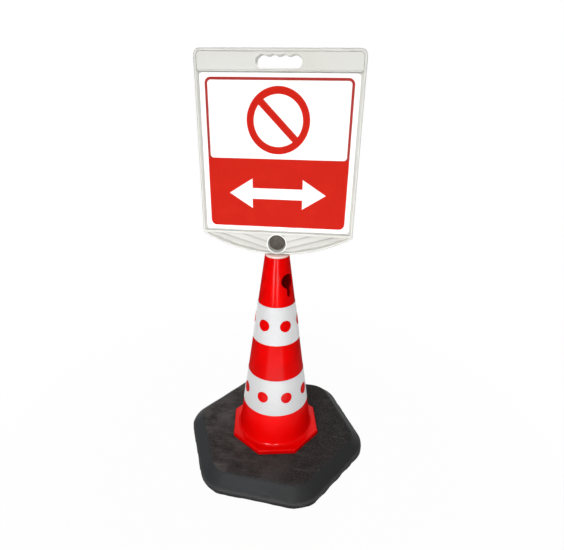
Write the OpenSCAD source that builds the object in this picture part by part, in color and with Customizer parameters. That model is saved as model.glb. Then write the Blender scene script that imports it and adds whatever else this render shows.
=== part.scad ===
// Cone sign: a two-sided board on a traffic cone that stands on a rubber ballast block.
// Millimetres. +Z is up, the origin is on the ground under the cone's axis, the board faces -Y.

/* [Rubber base] */
// Width of the hexagon across its flats
base_flats = 454; // [400:1:520]
// Radius of the hexagon's corners, at the ground
base_corner_r = 85; // [60:1:110]
// Height of the block
base_h = 44; // [36:1:60]
// Height of the upright edge under the sloped flank
base_edge_h = 14; // [8:1:24]
// How far the flank leans in, measured across it
base_flank_run = 32; // [20:1:45]
// How far the block is turned about the cone's axis, in degrees
base_turn = 24; // [0:1:59]
// Height of the hub that locates the cone
hub_h = 40; // [25:1:70]

/* [Cone] */
// Height of the cone, from the base to its mouth
cone_h = 515; // [460:1:560]
// Outer diameter of the cone's wall where it would meet the base
cone_foot_d = 202; // [190:1:210]
// Outer diameter of the mouth
cone_mouth_d = 60; // [56:1:70]
// Thickness of the cone's wall
cone_wall = 3; // [2:0.1:4]
// Width of the octagonal foot across its flats
foot_flats = 232; // [224:1:260]
// Height of the octagonal foot
foot_h = 12; // [9:1:18]
// Bevel round the top of the foot
foot_bevel = 2.5; // [1:0.1:4]
// Radius of the fillet between the foot and the wall
foot_fillet_r = 6; // [3:0.5:8]
// How far the cone is turned about its axis, in degrees
cone_turn = 9; // [0:1:44]

/* [Chain keyholes] */
// Diameter of the keyhole's round part
keyhole_d = 37; // [26:0.5:40]
// Depth of the round part's centre below the mouth
keyhole_drop = 57; // [54:1:70]
// Width of the keyhole's slot
keyhole_slot_w = 12; // [8:0.5:16]
// Reach of the slot below the round part's centre
keyhole_slot_drop = 39; // [30:1:48]
// Place of the first keyhole round the cone, in degrees
keyhole_turn = 43; // [0:1:89]

/* [Bands and studs] */
// Height of each reflective band
band_h = 99; // [80:1:110]
// Thickness of a band
band_t = 0.6; // [0.4:0.1:1]
// Lower edge of the lower band above the base
lower_band_z = 101; // [90:1:120]
// Lower edge of the upper band above the base
upper_band_z = 296.5; // [280:0.5:310]
// Diameter of the round studs that stand through the bands
stud_d = 29; // [20:0.5:34]
// How far a stud stands out from the cone's wall
stud_proud = 1.4; // [1:0.1:2.5]
// Studs round the lower band
lower_studs = 8; // [6:1:10]
// Studs round the upper band
upper_studs = 6; // [4:1:8]
// Place of the lower band's first stud, in degrees
lower_stud_turn = 18; // [0:1:59]
// Place of the upper band's first stud, in degrees
upper_stud_turn = 23; // [0:1:59]

/* [Neck] */
// Thickness of the cone's wall at its mouth
mouth_wall = 3.6; // [3:0.1:5]
// Length of the straight socket in the mouth
mouth_socket_len = 22; // [14:1:32]
// Diameter of the adaptor's collar
collar_d = 56; // [55:0.5:60]
// Height of the adaptor's collar
collar_h = 5; // [3:0.5:8]
// Depth of the adaptor below the mouth
adaptor_depth = 34; // [26:1:36]
// Thickness of the adaptor's walls and ribs
adaptor_wall = 2.5; // [1.5:0.1:3.5]
// Ribs between the adaptor's two walls
adaptor_ribs = 6; // [4:1:8]
// Diameter of the board's stem
stem_d = 24; // [18:0.5:28]
// Thickness of the stem's wall
stem_wall = 4; // [2.5:0.1:6]
// Height of the neck between the collar and the board
neck_h = 1.5; // [1:0.1:5]

/* [Board] */
// Width of the board
board_w = 348; // [300:1:400]
// Height of the board, from the lowest point of its fan to its top
board_h = 430; // [400:1:480]
// Thickness of the board over both rims
board_t = 30; // [26:1:36]
// Thickness of a shell's walls
shell_wall = 3; // [2:0.1:4]
// Width of the rim's flat lip
rim_w = 4.5; // [3:0.5:6]
// Bevel along the rim's outer edge
rim_bevel = 1.5; // [0.5:0.1:2]
// Radius of the top corners
top_corner_r = 14; // [10:0.5:18]
// Depth of the face behind the rim
face_depth = 4.6; // [4:0.1:6]
// Radius of the curve along the fan's lower edge
fan_r = 350; // [320:1:420]

/* [Header and hand hole] */
// Height of the header plate
header_h = 34; // [32:0.5:40]
// How far the header stands behind the rim
header_set_back = 1; // [0.5:0.1:2]
// Radius of the header's top corners
header_corner_r = 8; // [4:0.5:10]
// Width of the groove between header and rim
groove_w = 2; // [1:0.1:3]
// Diameter of the lip along the header's lower edge
header_lip_d = 2.4; // [1.5:0.1:3.5]
// Width of the hand hole
hand_w = 94; // [86:1:110]
// Height of the hand hole without its finger scallops
hand_h = 23; // [20:0.5:28]
// Radius of the hand hole's corners
hand_corner_r = 10; // [6:0.5:11]
// Distance from the board's top to the hand hole
hand_drop = 13; // [11:0.5:18]
// Finger scallops along the hand hole's top
scallops = 4; // [3:1:4]
// Diameter of a finger scallop
scallop_d = 22; // [16:0.5:26]
// Distance between finger scallops
scallop_pitch = 22; // [19:0.5:26]
// How far a scallop rises above the hand hole
scallop_rise = 2.7; // [1.5:0.1:3.5]
// Thickness of the wall round the hand hole
hand_wall = 2.5; // [2:0.1:3.5]

/* [Sheet and bar] */
// Thickness of a printed sheet
sheet_t = 0.8; // [0.4:0.1:1.5]
// Gap between a sheet's sides and the slope inside the rim
sheet_margin = 1.1; // [0.5:0.1:3]
// Gap between a sheet and the header or the bar
sheet_drop = 3.5; // [2:0.1:6]
// Radius of a sheet's corners
sheet_corner_r = 8; // [4:0.5:16]
// Height of the bar under the sheet
bar_h = 5.5; // [4:0.5:10]
// Height of the bar's lower edge above the fan's lowest point
bar_z = 48; // [47:0.5:60]
// How far the bar stands behind the rim
bar_set_back = 0.6; // [0.4:0.1:2]

/* [Fan and boss] */
// Slope of the fan's rays, in degrees
ray_slope = 17; // [12:0.5:22]
// Height of a ray's lower line above the face
ray_rise = 2.6; // [1.5:0.1:2.9]
// Strip of bare face between a ray's foot and the next ray
ray_gap = 0.4; // [0.2:0.1:1]
// Outer diameter of the boss
boss_d = 47.5; // [46:0.5:52]
// How far the boss stands behind the rim
boss_set_back = 1.5; // [0.5:0.1:1.6]
// Diameter of the boss's bore at its mouth
bore_d = 43; // [40:0.5:43.5]
// How much narrower the bore is at the plug
bore_taper = 6; // [5:0.1:7]
// Height of the boss's centre above the fan's lowest point
boss_z = 26; // [25:0.5:30]
// Diameter of the plug in the bore
plug_d = 41; // [39:0.1:42]
// Thickness of the plug
plug_t = 3; // [2:0.1:5]

/* [Screws] */
// Diameter of a screw's shank
screw_d = 3.8; // [3:0.1:4.5]
// Diameter of a screw's head
screw_head_d = 8; // [6:0.1:9]
// Height of a screw's head
screw_head_h = 1.8; // [1.2:0.1:2.2]
// Diameter of the posts that take the screws
post_d = 10; // [9.5:0.1:12]

/* [Hidden] */
$fn = 96;
// How far cuts run past the faces that they open
overrun = 1;
// Clearance of the hub and the adaptor in the cone
seat_gap = 0.4;
// Radial clearance of the stem, the plug and the screws
fit_gap = 0.08;
// Clearance of a stud in its band
stud_gap = 0.4;
// Glue under a band
glue_t = 0.1;
// Width of the joint at a band's back
band_joint_w = 1.2;
// Bevel along the base's lower edge, the hub and the collar
base_bevel = 2;
hub_bevel = 3;
collar_bevel = 0.8;
// Facets round a full turn of the base's corners
corner_facets = 120;
// Steps in the fillet round the cone's foot
fillet_steps = 6;
// Depth of the slope inside the rim, as a share of the face's depth
rim_slope_share = 0.85;
// Starts of the rays, as shares of half the board's width, outermost first
ray_start_shares = [0.965, 0.74, 0.425];
// How far a ray's slope runs on under the face, as a share of its run
ray_bury_share = 0.2;
// Places of the screws over the sheet, as shares of half its width and of its height
screw_x_share = 0.86;
screw_z_shares = [0.06, 0.5, 0.94];

cone_z = base_h;
mouth_z = cone_z + cone_h;
collar_z = mouth_z + collar_h;
board_z = collar_z + neck_h;
foot_r = cone_foot_d / 2;
mouth_r = cone_mouth_d / 2;
socket_r = mouth_r - mouth_wall;
stem_r = stem_d / 2;
stud_r = stud_d / 2;
half_t = board_t / 2;
boss_y = half_t - boss_set_back;
face_y = half_t - face_depth;
rim_slope = rim_slope_share * face_depth;
face_inset = rim_w + rim_slope;
inner_y = face_y - shell_wall;
hex_r = (base_flats / 2 - base_corner_r) / cos(30);
header_top = board_h - rim_w - groove_w;
header_bottom = header_top - header_h;
sheet_bottom = bar_z + bar_h + sheet_drop;
sheet_top = header_bottom - sheet_drop;
sheet_w = board_w - 2 * (face_inset + sheet_margin);
sheet_h = sheet_top - sheet_bottom;
screw_x = screw_x_share * sheet_w / 2;

// Outer radius of the cone's wall at a height above the base
function cone_r(z) = foot_r - (foot_r - mouth_r) * z / cone_h;

// Inner radius of the cone's wall at a height above the base
function cone_inner_r(z) = cone_r(z) - cone_wall;

// Section of a flat block from its middle to an edge that is bevelled in, or out where the bevel is negative
function edge_section(reach, t, bevel) =
    bevel == 0
        ? [[0, 0], [reach, 0], [reach, t], [0, t]]
        : [[0, 0], [reach, 0], [reach, t - abs(bevel)], [reach - bevel, t], [0, t]];

// Section of the rubber block from a corner's centre to its outer edge
function base_section() = [
    [0, 0],
    [base_corner_r - base_bevel, 0],
    [base_corner_r, base_bevel],
    [base_corner_r, base_edge_h],
    [base_corner_r - base_flank_run, base_h],
    [0, base_h]
];

// Block: the section turned at each corner of the hexagon, and the six corners drawn together
module base_block() {
    hull()
        for (i = [0 : 5])
            rotate([0, 0, 60 * i])
                translate([hex_r, 0, 0])
                    rotate_extrude($fn = corner_facets)
                        polygon(base_section());
}

// Hub: follows the inside of the cone's wall and is rooted in the block
module base_hub() {
    hub_foot_r = cone_inner_r(0) - seat_gap;
    hub_top_r = cone_inner_r(hub_h) - seat_gap;
    rotate_extrude()
        polygon([
            [0, -base_h / 2],
            [hub_foot_r, -base_h / 2],
            [hub_foot_r, 0],
            [cone_inner_r(hub_h - hub_bevel) - seat_gap, hub_h - hub_bevel],
            [hub_top_r - hub_bevel, hub_h],
            [0, hub_h]
        ]);
}

module rubber_base() {
    color([0.21, 0.20, 0.20]) {
        rotate([0, 0, base_turn - 90])
            base_block();
        translate([0, 0, cone_z])
            base_hub();
    }
}

// Octagon with flats towards X and Y
module octagon(flats, h, bevel) {
    corner_r = flats / 2 / cos(22.5);
    bevel_r = (flats / 2 - bevel) / cos(22.5);
    rotate([0, 0, 22.5])
        hull() {
            cylinder(r = corner_r, h = h - bevel, $fn = 8);
            cylinder(r = bevel_r, h = h, $fn = 8);
        }
}

// Solid with the cone's outer slope, grown by a given amount
module cone_solid(grow, z0, z1) {
    rotate_extrude()
        polygon([[0, z0], [cone_r(z0) + grow, z0], [cone_r(z1) + grow, z1], [0, z1]]);
}

// Point of the fillet between the octagonal foot and the wall, from 0 degrees at the foot to 90 at the wall
function fillet_point(angle) =
    let (z = foot_h + foot_fillet_r * (1 - cos(angle)))
        [cone_r(z) + foot_fillet_r * (1 - sin(angle)), z];

// Outside of the cone, with the fillet at its foot
module cone_outside() {
    rotate_extrude()
        polygon(concat(
            [[0, 0], [fillet_point(0)[0], 0]],
            [for (i = [0 : fillet_steps]) fillet_point(90 * i / fillet_steps)],
            [[mouth_r, cone_h], [0, cone_h]]
        ));
}

// Round bars that point out through the wall, halfway up a band
module stud_row(count, turn, band_z, r) {
    start_r = cone_inner_r(band_z + band_h);
    for (i = [0 : count - 1])
        rotate([0, 0, turn + 360 * i / count])
            translate([0, -start_r, band_z + band_h / 2])
                rotate([90, 0, 0])
                    cylinder(r = r, h = foot_r - start_r);
}

module studs() {
    intersection() {
        cone_solid(stud_proud, lower_band_z, lower_band_z + band_h);
        stud_row(lower_studs, lower_stud_turn, lower_band_z, stud_r);
    }
    intersection() {
        cone_solid(stud_proud, upper_band_z, upper_band_z + band_h);
        stud_row(upper_studs, upper_stud_turn, upper_band_z, stud_r);
    }
}

// Inside of the cone, with a straight socket at the mouth
module cone_cavity() {
    socket_z = cone_h - mouth_socket_len;
    lead_z = socket_z - mouth_wall;
    rotate_extrude()
        polygon([
            [0, -overrun],
            [cone_inner_r(-overrun), -overrun],
            [cone_inner_r(lead_z), lead_z],
            [socket_r, socket_z],
            [socket_r, cone_h + overrun],
            [0, cone_h + overrun]
        ]);
}

// Round hole with a slot below it, cut through one side of the wall
module keyhole() {
    slot_end = keyhole_slot_drop - keyhole_slot_w / 2;
    translate([0, 0, cone_h - keyhole_drop])
        rotate([90, 0, 0])
            linear_extrude(foot_r) {
                circle(d = keyhole_d);
                translate([-keyhole_slot_w / 2, -slot_end])
                    square([keyhole_slot_w, slot_end]);
                translate([0, -slot_end])
                    circle(d = keyhole_slot_w);
            }
}

module cone_body() {
    color([0.84, 0.03, 0.03])
        translate([0, 0, cone_z])
            rotate([0, 0, cone_turn])
                difference() {
                    union() {
                        octagon(foot_flats, foot_h, foot_bevel);
                        cone_outside();
                        studs();
                    }
                    cone_cavity();
                    translate([0, 0, -overrun])
                        octagon(foot_flats - 2 * cone_wall, foot_h - cone_wall + overrun, 0);
                    for (side = [0, 180])
                        rotate([0, 0, keyhole_turn + side])
                            keyhole();
                }
}

// Sleeve round the cone, open at the back along a narrow joint and pierced for the studs
module band(z, count, turn) {
    inner = glue_t;
    outer = glue_t + band_t;
    color([0.91, 0.92, 0.93])
        translate([0, 0, cone_z])
            rotate([0, 0, cone_turn])
                difference() {
                    rotate_extrude()
                        polygon([
                            [cone_r(z) + inner, z],
                            [cone_r(z) + outer, z],
                            [cone_r(z + band_h) + outer, z + band_h],
                            [cone_r(z + band_h) + inner, z + band_h]
                        ]);
                    stud_row(count, turn, z, stud_r + stud_gap);
                    rotate([0, 0, turn + 180 / count])
                        translate([-band_joint_w / 2, 0, z - overrun])
                            cube([band_joint_w, cone_foot_d, band_h + 2 * overrun]);
                }
}

module lower_band() {
    band(lower_band_z, lower_studs, lower_stud_turn);
}

module upper_band() {
    band(upper_band_z, upper_studs, upper_stud_turn);
}

// Tube about the Z axis
module tube(outer_r, inner_r, h) {
    difference() {
        cylinder(r = outer_r, h = h);
        translate([0, 0, -overrun])
            cylinder(r = inner_r, h = h + 2 * overrun);
    }
}

module neck_adaptor() {
    collar_r = collar_d / 2;
    bore_r = stem_r + fit_gap;
    socket_outer_r = bore_r + adaptor_wall;
    skirt_r = socket_r - seat_gap;
    rib_reach = (socket_outer_r + skirt_r) / 2;
    color([0.90, 0.89, 0.86])
        translate([0, 0, mouth_z]) {
            rotate_extrude()
                polygon([
                    [bore_r, 0],
                    [collar_r, 0],
                    [collar_r, collar_h - collar_bevel],
                    [collar_r - collar_bevel, collar_h],
                    [bore_r, collar_h]
                ]);
            translate([0, 0, -adaptor_depth]) {
                tube(skirt_r, skirt_r - adaptor_wall, adaptor_depth);
                tube(socket_outer_r, bore_r, adaptor_depth);
                for (i = [0 : adaptor_ribs - 1])
                    rotate([0, 0, 360 * i / adaptor_ribs])
                        translate([socket_outer_r - adaptor_wall / 2, -adaptor_wall / 2, 0])
                            cube([skirt_r - socket_outer_r, adaptor_wall, adaptor_depth]);
            }
        }
}

// Puts a drawing of the board's front, with depth along its own Z, upright in the front half
module on_front() {
    translate([0, 0, board_z])
        rotate([90, 0, 0])
            children();
}

module on_rear() {
    rotate([0, 0, 180])
        on_front()
            children();
}

// Upright block with round top corners and bevelled side and top edges
module round_top_block(w, bottom, top, r, t, bevel) {
    flat_w = w - 2 * r;
    translate([0, top - r, 0])
        rotate([90, 0, 0])
            linear_extrude(top - r - bottom)
                polygon(concat(
                    edge_section(w / 2, t, bevel),
                    [for (p = [len(edge_section(w / 2, t, bevel)) - 2 : -1 : 1])
                        [-edge_section(w / 2, t, bevel)[p][0], edge_section(w / 2, t, bevel)[p][1]]]
                ));
    translate([-flat_w / 2, top - r, 0])
        rotate([90, 0, 90])
            linear_extrude(flat_w)
                polygon(edge_section(r, t, bevel));
    for (side = [0, 1])
        translate([(side == 0 ? 1 : -1) * flat_w / 2, top - r, 0])
            rotate([0, 0, 90 * side])
                rotate_extrude(angle = 90)
                    polygon(edge_section(r, t, bevel));
}

// The board's outline: round top corners and a curved lower edge, drawn in by an inset
module board_block(inset, t, bevel) {
    intersection() {
        round_top_block(board_w - 2 * inset, -overrun, board_h - inset, top_corner_r - inset, t, bevel);
        translate([0, fan_r, 0])
            rotate_extrude()
                polygon(edge_section(fan_r - inset, t, bevel));
    }
}

// Hand hole with finger scallops along its top, drawn out by a given amount
module hand_outline(grow) {
    top = board_h - hand_drop;
    corner_x = hand_w / 2 - hand_corner_r;
    r = hand_corner_r + grow;
    translate([-hand_w / 2 - grow, top - hand_h + hand_corner_r])
        square([hand_w + 2 * grow, hand_h - 2 * hand_corner_r]);
    translate([-corner_x, top - hand_h - grow])
        square([2 * corner_x, hand_h + 2 * grow]);
    for (x = [-corner_x, corner_x], y = [top - hand_h + hand_corner_r, top - hand_corner_r])
        translate([x, y])
            circle(r = r);
    for (i = [0 : scallops - 1])
        translate([(i - (scallops - 1) / 2) * scallop_pitch, top + scallop_rise - scallop_d / 2])
            circle(r = scallop_d / 2 + grow);
}

// Raised header with a lip along its lower edge
module header() {
    header_w = board_w - 2 * (rim_w + groove_w);
    header_y = half_t - header_set_back;
    translate([0, 0, inner_y])
        round_top_block(header_w, header_bottom, header_top, header_corner_r, header_y - inner_y, 0);
    translate([-header_w / 2 + groove_w, header_bottom, half_t - header_lip_d / 2])
        rotate([0, 90, 0])
            cylinder(d = header_lip_d, h = header_w - 2 * groove_w);
}

// Bar between the sheet and the fan
module bar() {
    translate([-board_w / 2 + rim_w / 2, bar_z, inner_y])
        cube([board_w - rim_w, bar_h, half_t - bar_set_back - inner_y]);
}

// Steps of the fan, each rising from the face to its lower line like a lapped board
module rays() {
    starts = [for (share = ray_start_shares) share * board_w / 2];
    last = len(starts) - 1;
    steps = [for (i = [0 : last]) i < last ? starts[i] - starts[i + 1] : starts[i - 1] - starts[i]];
    runs = [for (step = steps) step * sin(ray_slope) - ray_gap];
    intersection() {
        for (side = [0, 1], i = [0 : last])
            mirror([side, 0, 0])
                translate([starts[i], bar_z, 0])
                    rotate([0, 0, 180 + ray_slope])
                        translate([-board_w / 2, 0, 0])
                            rotate([90, 0, 90])
                                linear_extrude(board_w / 2 + starts[i] / cos(ray_slope))
                                    polygon([
                                        [0, inner_y],
                                        [0, face_y + ray_rise],
                                        [-runs[i] * (1 + ray_bury_share), face_y - ray_rise * ray_bury_share],
                                        [-runs[i] * (1 + ray_bury_share), inner_y]
                                    ]);
        board_block(rim_w / 2, half_t, 0);
        translate([-board_w / 2, -overrun, 0])
            cube([board_w, bar_z + bar_h / 2 + overrun, half_t]);
    }
}

// Places the children at each screw, with depth along their own Z
module at_screws() {
    for (x = [-screw_x, screw_x], share = screw_z_shares)
        translate([x, sheet_bottom + share * sheet_h, 0])
            children();
}

// Half of the stem and of the neck under the board
module half_stem() {
    stem_len = neck_h + collar_h + adaptor_depth;
    stem_top = rim_w;
    intersection() {
        translate([0, stem_top, 0])
            rotate([90, 0, 0])
                tube(stem_r, stem_r - stem_wall, stem_len + stem_top);
        translate([-stem_r, -stem_len - overrun, 0])
            cube([stem_d, stem_len + stem_top + 2 * overrun, stem_r]);
    }
    intersection() {
        translate([0, stem_top, 0])
            rotate([90, 0, 0])
                tube(stem_r + adaptor_wall / 2, stem_r - stem_wall, neck_h + stem_top);
        translate([-stem_d, -neck_h - overrun, 0])
            cube([2 * stem_d, neck_h + stem_top + 2 * overrun, stem_d]);
    }
}

// Half of the board: face, rim, header, bar, fan, boss and posts
module half_shell() {
    difference() {
        union() {
            difference() {
                board_block(0, half_t, rim_bevel);
                translate([0, 0, face_y])
                    board_block(face_inset, face_depth + overrun, -rim_slope - overrun);
                translate([0, 0, -overrun])
                    board_block(shell_wall, inner_y + overrun, 0);
            }
            header();
            bar();
            rays();
            linear_extrude(face_y)
                hand_outline(hand_wall);
            translate([0, boss_z, 0])
                cylinder(d = boss_d, h = boss_y);
            at_screws()
                cylinder(d = post_d, h = face_y - shell_wall / 2);
            half_stem();
        }
        translate([0, 0, -overrun])
            linear_extrude(board_t)
                hand_outline(0);
        translate([0, boss_z, 0]) {
            cylinder(d1 = bore_d - bore_taper, d2 = bore_d, h = boss_y);
            translate([0, 0, boss_y - overrun])
                cylinder(d = bore_d, h = board_t);
            translate([0, 0, -overrun])
                cylinder(d = plug_d + 2 * fit_gap, h = plug_t / 2 + overrun);
        }
    }
}

module front_shell() {
    color([0.89, 0.89, 0.86])
        on_front()
            difference() {
                half_shell();
                at_screws()
                    translate([0, 0, -overrun])
                        cylinder(d = screw_d + 2 * fit_gap, h = inner_y + overrun);
            }
}

module rear_shell() {
    color([0.87, 0.87, 0.84])
        on_rear()
            difference() {
                half_shell();
                at_screws() {
                    translate([0, 0, -overrun])
                        cylinder(d = screw_d + 2 * fit_gap, h = board_t);
                    translate([0, 0, face_y - screw_head_h])
                        cylinder(d = screw_head_d + 2 * fit_gap, h = board_t);
                }
            }
}

// Printed sheet with round corners
module sheet() {
    corner_x = sheet_w / 2 - sheet_corner_r;
    translate([0, 0, face_y])
        linear_extrude(sheet_t) {
            translate([-sheet_w / 2, sheet_bottom + sheet_corner_r])
                square([sheet_w, sheet_h - 2 * sheet_corner_r]);
            translate([-corner_x, sheet_bottom])
                square([2 * corner_x, sheet_h]);
            for (x = [-corner_x, corner_x], y = [sheet_bottom + sheet_corner_r, sheet_top - sheet_corner_r])
                translate([x, y])
                    circle(r = sheet_corner_r);
        }
}

module front_sheet() {
    color([0.99, 0.99, 0.99])
        on_front()
            sheet();
}

module rear_sheet() {
    color([0.97, 0.97, 0.97])
        on_rear()
            sheet();
}

module bore_plug() {
    color([0.39, 0.36, 0.34])
        on_front()
            translate([0, boss_z, -plug_t / 2])
                cylinder(d = plug_d, h = plug_t);
}

// Screws that draw the two shells together from behind
module shell_screws() {
    color([0.6, 0.6, 0.6])
        on_rear()
            at_screws() {
                translate([0, 0, face_y - screw_head_h])
                    cylinder(d = screw_head_d, h = screw_head_h);
                translate([0, 0, -inner_y])
                    cylinder(d = screw_d, h = inner_y + face_y - screw_head_h);
            }
}

rubber_base();
cone_body();
lower_band();
upper_band();
neck_adaptor();
front_shell();
rear_shell();
front_sheet();
rear_sheet();
bore_plug();
shell_screws();
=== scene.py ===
"""Cone sign, dressed for rendering.

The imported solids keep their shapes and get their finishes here. The rubber block is swapped for one with a
crumbly skin, the print is laid on both sheets, and a plain studio is set up round the sign.
"""

import math

import bmesh
import bpy
from bpy.props import FloatProperty, FloatVectorProperty, IntProperty, PointerProperty
from mathutils import Matrix, Vector, noise


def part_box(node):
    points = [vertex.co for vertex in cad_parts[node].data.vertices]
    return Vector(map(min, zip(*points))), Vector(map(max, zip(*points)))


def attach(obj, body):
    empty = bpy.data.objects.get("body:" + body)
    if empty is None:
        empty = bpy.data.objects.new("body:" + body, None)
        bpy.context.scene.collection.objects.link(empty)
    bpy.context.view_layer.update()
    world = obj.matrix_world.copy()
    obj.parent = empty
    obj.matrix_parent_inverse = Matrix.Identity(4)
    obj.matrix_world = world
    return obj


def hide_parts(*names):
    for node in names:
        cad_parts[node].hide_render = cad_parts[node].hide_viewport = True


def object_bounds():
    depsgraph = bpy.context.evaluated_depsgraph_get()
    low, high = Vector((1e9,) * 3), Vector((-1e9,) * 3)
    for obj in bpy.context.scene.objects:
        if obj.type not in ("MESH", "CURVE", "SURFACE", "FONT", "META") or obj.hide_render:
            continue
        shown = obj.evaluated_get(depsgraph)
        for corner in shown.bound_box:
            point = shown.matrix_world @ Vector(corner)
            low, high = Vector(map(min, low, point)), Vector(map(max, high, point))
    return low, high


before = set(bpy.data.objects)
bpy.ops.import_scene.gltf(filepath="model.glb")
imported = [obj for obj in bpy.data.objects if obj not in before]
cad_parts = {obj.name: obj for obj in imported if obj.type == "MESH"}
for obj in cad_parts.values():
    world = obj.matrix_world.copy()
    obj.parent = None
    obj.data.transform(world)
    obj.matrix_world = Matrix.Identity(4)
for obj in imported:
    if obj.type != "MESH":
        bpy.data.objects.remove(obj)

bl_info = {
    "name": "Cone Sign",
    "version": (1, 0, 0),
    "blender": (4, 5, 0),
    "location": "3D View > Sidebar > Cone Sign",
    "description": "Finishes, print and studio for a sign board on a traffic cone",
    "category": "Object",
}

CAD_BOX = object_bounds()

# Where the cone, the front sheet and the plug in the board's bore stand in the frame
CONE_LOW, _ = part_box("cone_body")
SHEET_LOW, SHEET_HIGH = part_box("front_sheet")
PLUG_MIDDLE = sum(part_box("bore_plug"), Vector()) / 2

# Height of the rubber block's upright edge, how far above and below its top the block is chafed, and how
# far below it the foot's painted shade is whole
EDGE_HEIGHT = 0.014
EDGE_ABOVE = 0.008
EDGE_BELOW = 0.006
FOOT_SHADE = 0.008

# How far left of the cone's axis the block is dustiest and painted lightest, and as far right of it painted
# darkest, as if in shade
LIGHT_AND_DUST_REACH = 0.20

# Heights between which the cone is painted lighter towards its foot, as if lit there, and between which its
# gloss dulls upwards
CONE_LIT_FOOT = (0.20, 0.12)
CONE_DULLS = (0.10, 0.36)

# Heights between which painted shade and dirt in the board's corners set in, and between which they thicken
CORNER_SHADE_STARTS = (0.62, 0.64)
CORNER_SHADE_THICKENS = (0.90, 0.95)

# How far below the sheet the painted shade over the fan sets in, and where it is whole
FAN_SHADE_STARTS = 0.004
FAN_SHADE_WHOLE = 0.010

# How soft the painted shadows and marks along the steps of the board's fan are, and the lower end of the
# print's border line
STEP_BLUR = 0.0006
LINE_BLUR = 0.001

# Share of the block's corner radius by which its top is drawn in before it runs on to the hub
TOP_SHARE = 0.75

# Widths of the hollows and of the nicks in the block, in crumbs, and how rare the nicks are
HOLLOW_CRUMBS = 7.0
NICK_CRUMBS = 3.0
NICK_LEVEL = 0.30

# Where in the noise the hollows and the nicks are taken from, and at which level the dents
HOLLOW_SHIFT = Vector((3.1, 0.0, 0.0))
NICK_SHIFT = Vector((0.0, 7.7, 0.0))
DENT_LEVEL = 0.3

# How steeply the nicks set in round the top of the flank
TOP_NICKS = 4.0

# Sets the names of the finishes apart from those that come with the frame
SUFFIX = "_finish"

# Points round a quarter of a circle in the print
ARC_STEPS = 12

# Name, place, size and tint of each soft lamp; the stage's setting of the same name holds its power
LAMPS = (
    ("key", (-0.7, -3.55, 3.5), (2.0, 2.0), (1.0, 0.99, 0.98)),
    ("fill", (3.4, -2.4, 2.4), (3.0, 3.0), (0.97, 0.98, 1.0)),
    ("back", (-0.5, 4.4, 2.6), (2.5, 2.5), (1.0, 1.0, 1.0)),
    ("back_right", (2.6, 3.0, 2.4), (2.5, 2.5), (1.0, 1.0, 1.0)),
)

# Places of the upright strip lamps, what they point at, and their width and height
STRIPS = {"strip_left": (-0.62, -2.3, 0.42), "strip_right": (0.42, -2.3, 0.42)}
STRIP_AIM = (0.0, 0.0, 0.35)
STRIP_SIZE = (0.16, 0.70)

# Degrees by which the lamps on the floor are turned about the cone's axis, where they start and end, how
# wide they are and how high they lie
CARDS = {"card_left": -18.0, "card_middle": 4.0, "card_right": 26.0}
CARD_NEAR = 0.42
CARD_FAR = 1.9
CARD_WIDTH = 0.25
CARD_LIFT = 0.01

# Width of the floor, and the distances from the cone's axis between which it turns white
FLOOR_SIZE = 60.0
FLOOR_FADES = (0.40, 1.0)

# Width of the camera's film, in millimetres
FILM_WIDTH = 36.0

# Which way is up
UPWARD = Vector((0.0, 0.0, 1.0))


def length(label, about, default, low=0.0, high=10.0):
    """A length that a user may change, in metres."""
    return FloatProperty(
        name=label, description=about, default=default, min=low, max=high,
        unit="LENGTH", subtype="DISTANCE", precision=5,
    )


def angle(label, about, degrees):
    """An angle that a user may change."""
    return FloatProperty(
        name=label, description=about, default=math.radians(degrees), unit="ROTATION", subtype="ANGLE",
    )


def colour(label, about, default):
    """A colour that a user may change, linear."""
    return FloatVectorProperty(
        name=label, description=about, default=default, size=3, min=0.0, max=1.0, subtype="COLOR",
    )


def share(label, about, default):
    """A share between nought and one."""
    return FloatProperty(name=label, description=about, default=default, min=0.0, max=1.0, subtype="FACTOR")


def watts(label, about, default):
    """The power of a lamp, in watts."""
    return FloatProperty(name=label, description=about, default=default, min=0.0)


class BlockSettings(bpy.types.PropertyGroup):
    """Sizes of the rubber block and of its crumbly skin."""

    flats: length("Flats", "Width of the hexagon across its flats", 0.454)
    corner: length("Corner", "Radius of the hexagon's corners at the ground", 0.085)
    edge: length("Edge", "Height of the upright edge", EDGE_HEIGHT)
    flank: length("Flank", "How far the flank leans in", 0.032)
    turn: angle("Turn", "How far the block is turned about the cone's axis", 24.0)
    foot_round: length("Foot rounding", "Radius along the lower edge", 0.003)
    edge_round: length("Edge rounding", "Radius where the edge meets the flank", 0.007)
    top_round: length("Top rounding", "Radius where the flank meets the top", 0.014)
    hub_foot: length("Hub foot", "Radius of the hub where it meets the block", 0.0976)
    hub_top: length("Hub top", "Radius of the hub at its top", 0.0921)
    hub_height: length("Hub height", "Height of the hub", 0.040)
    hub_round: length("Hub rounding", "Radius round the hub's top", 0.003)
    step: length("Step", "Distance between rings of the skin", 0.0032, 0.001)
    arc_steps: IntProperty(name="Arc steps", description="Points round a corner", default=24, min=4)
    side_steps: IntProperty(name="Side steps", description="Points along a side", default=46, min=4)
    crumb: length("Crumb", "Size of the rubber crumbs that shape the skin", 0.006)
    crumb_depth: length("Crumb depth", "How deep the skin sinks between crumbs", 0.0006)
    hollow_depth: length("Hollow depth", "How deep the shallow hollows of the top are", 0.0010)
    nick_depth: length("Nick depth", "How deep the nicks along the edges are", 0.0050)
    wave: length("Wave", "Distance between the dents along the foot", 0.030)
    wave_depth: length("Wave depth", "How deep the dents along the foot are", 0.0055)


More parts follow.
